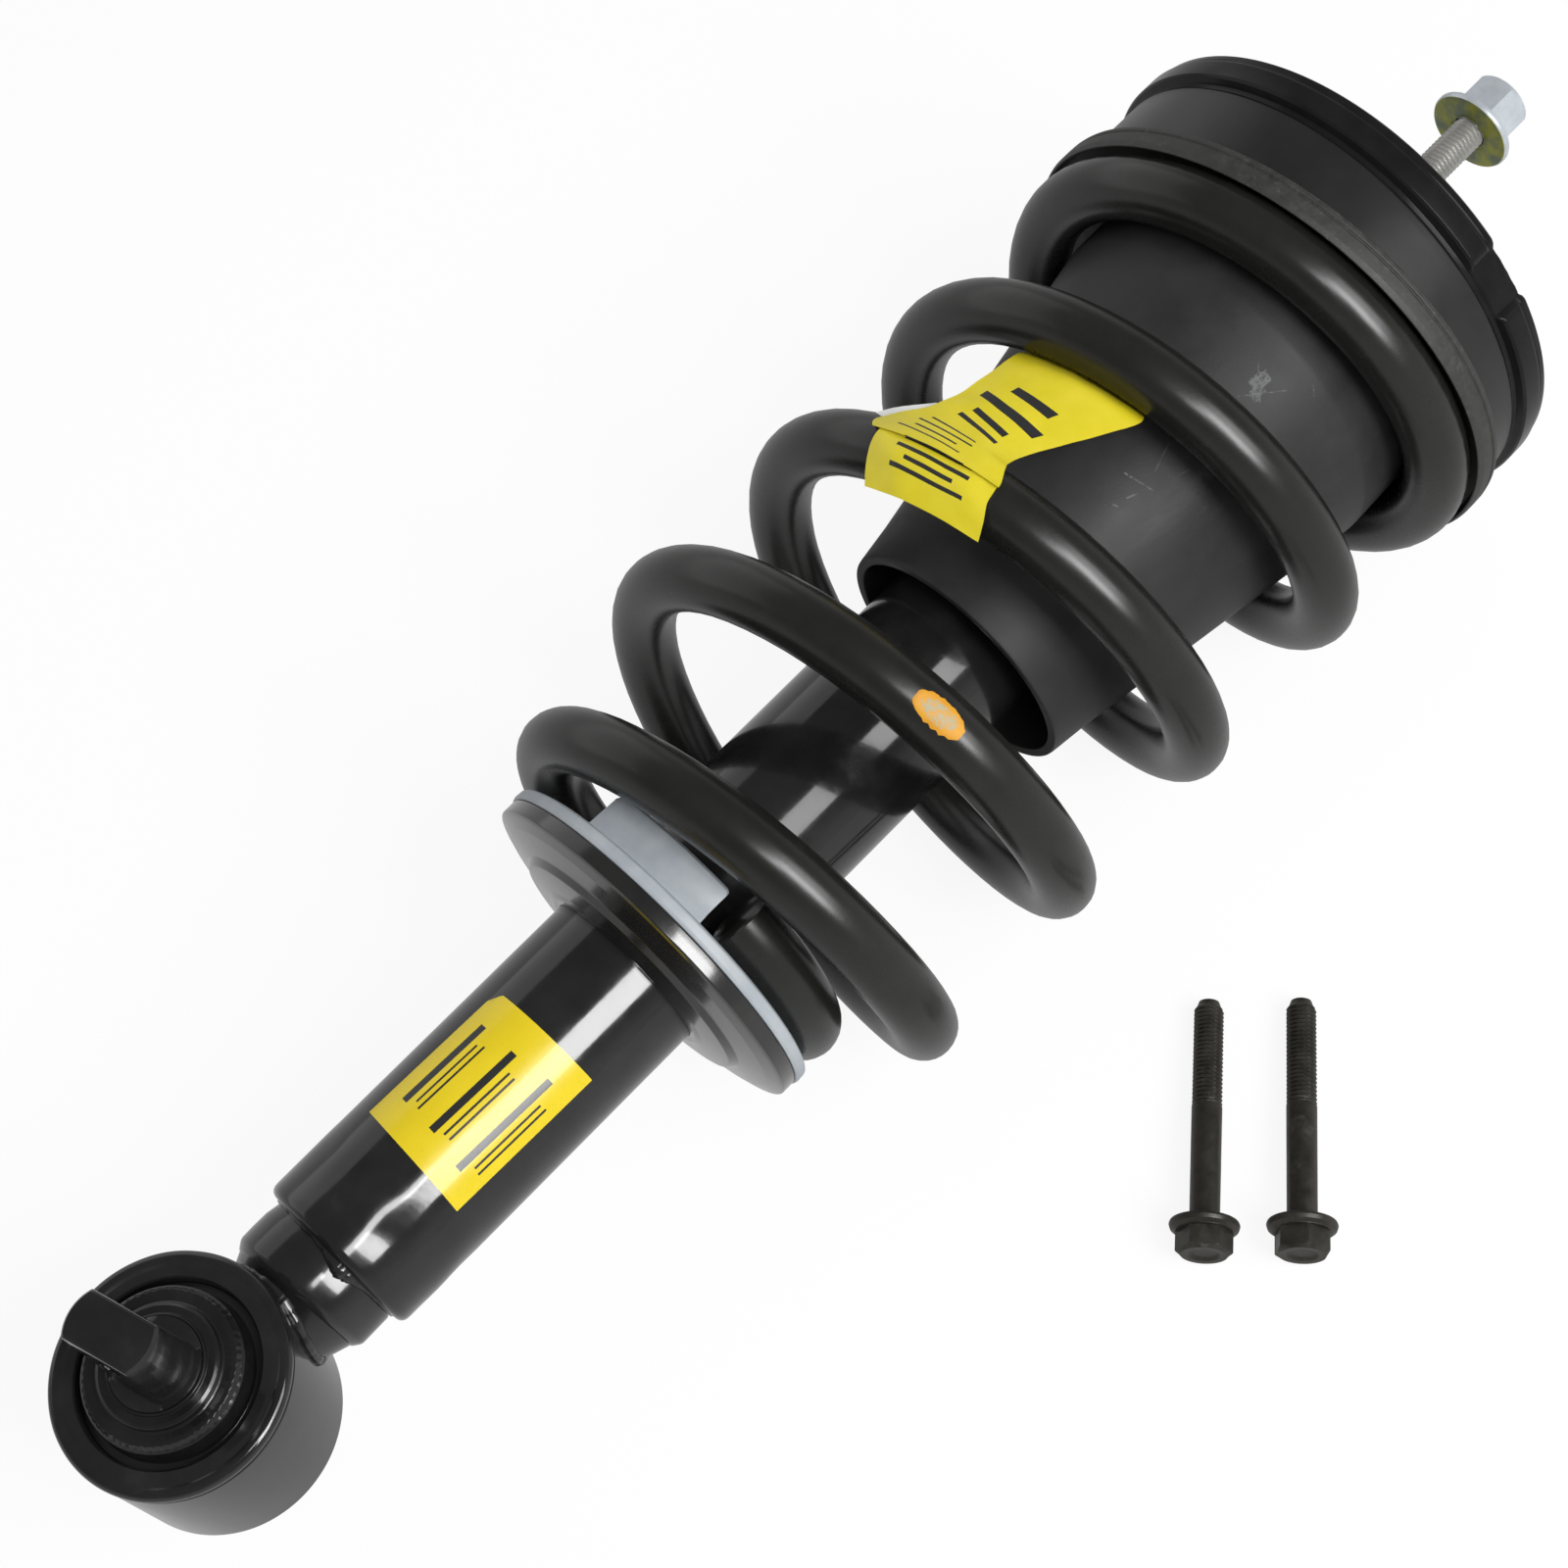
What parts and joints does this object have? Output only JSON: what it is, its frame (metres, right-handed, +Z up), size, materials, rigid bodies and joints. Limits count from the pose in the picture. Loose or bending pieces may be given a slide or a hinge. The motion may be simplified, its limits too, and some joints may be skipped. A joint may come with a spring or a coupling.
{
  "type": "strut assembly",
  "caption": "Coil-over suspension strut lying on its side: damper with rubber-bushed bar pin, coil spring, boot, cup mount with stud and nut, and its loose fixing bolts.",
  "frame": {"origin": "on the floor that the strut lies on, at the middle of the part's own box", "axes": "+X along the strut towards its top stud, +Z up from the floor and along the bar pin, +Y across"},
  "size_m": [0.6508, 0.2974, 0.1832],
  "materials": {
    "gloss_black_paint": "gloss black dip paint",
    "spring_paint": "semi-gloss black paint",
    "black_rubber": "matte moulded rubber",
    "boot_rubber": "matte scuffed rubber",
    "pad_plastic": "light blue-grey moulded plastic",
    "foam": "fine-celled foam",
    "yellow_label": "satin yellow film",
    "zinc": "bright zinc plating",
    "steel": "machined steel",
    "rod_chrome": "hard chrome",
    "sinter": "sintered iron",
    "ptfe": "bronze-filled PTFE",
    "black_phosphate": "black phosphate"
  },
  "bodies": {
    "lower": {"outer_tube": "gloss_black_paint", "base_cap": "gloss_black_paint", "pressure_tube": "steel", "base_valve": "sinter", "rod_guide": "sinter", "oil_seal": "black_rubber", "neck": "gloss_black_paint", "eye_ring": "gloss_black_paint", "eye_bushing": "black_rubber", "spring_seat": "gloss_black_paint", "seat_pad": "pad_plastic", "coil_spring": "spring_paint", "tube_label": "yellow_label", "spring_tag": "yellow_label", "pin_bolts": "black_phosphate"},
    "pin": {"bar_pin": "gloss_black_paint"},
    "upper": {"piston_rod": "rod_chrome", "piston": "sinter", "piston_band": "ptfe", "piston_nut": "steel", "rebound_stop": "black_rubber", "boot": "boot_rubber", "bump_stop": "foam", "upper_insulator": "black_rubber", "mount_cup": "gloss_black_paint", "mount_cover": "gloss_black_paint", "mount_bush": "black_rubber", "mount_sleeve": "steel", "mount_washers": "steel", "rod_nut": "zinc"},
    "nut": {"top_nut": "zinc"}
  },
  "joints": [
    {"name": "stroke", "type": "slide", "parent": "lower", "child": "upper", "axis": [-1, 0, 0], "range_m": [0, 0.11], "stiffness_N_per_m": 60000, "deforming": ["coil_spring", "spring_tag"]},
    {"name": "pin_twist", "type": "hinge", "parent": "lower", "child": "pin", "pos_m": [-0.2886, 0.05855, 0.09015], "axis": [0, 0, 1], "range_deg": [-15, 15], "stiffness_Nm_per_rad": 60},
    {"name": "nut_run", "type": "slide", "parent": "upper", "child": "nut", "axis": [-1, 0, 0], "range_m": [0, 0.055]}
  ]
}
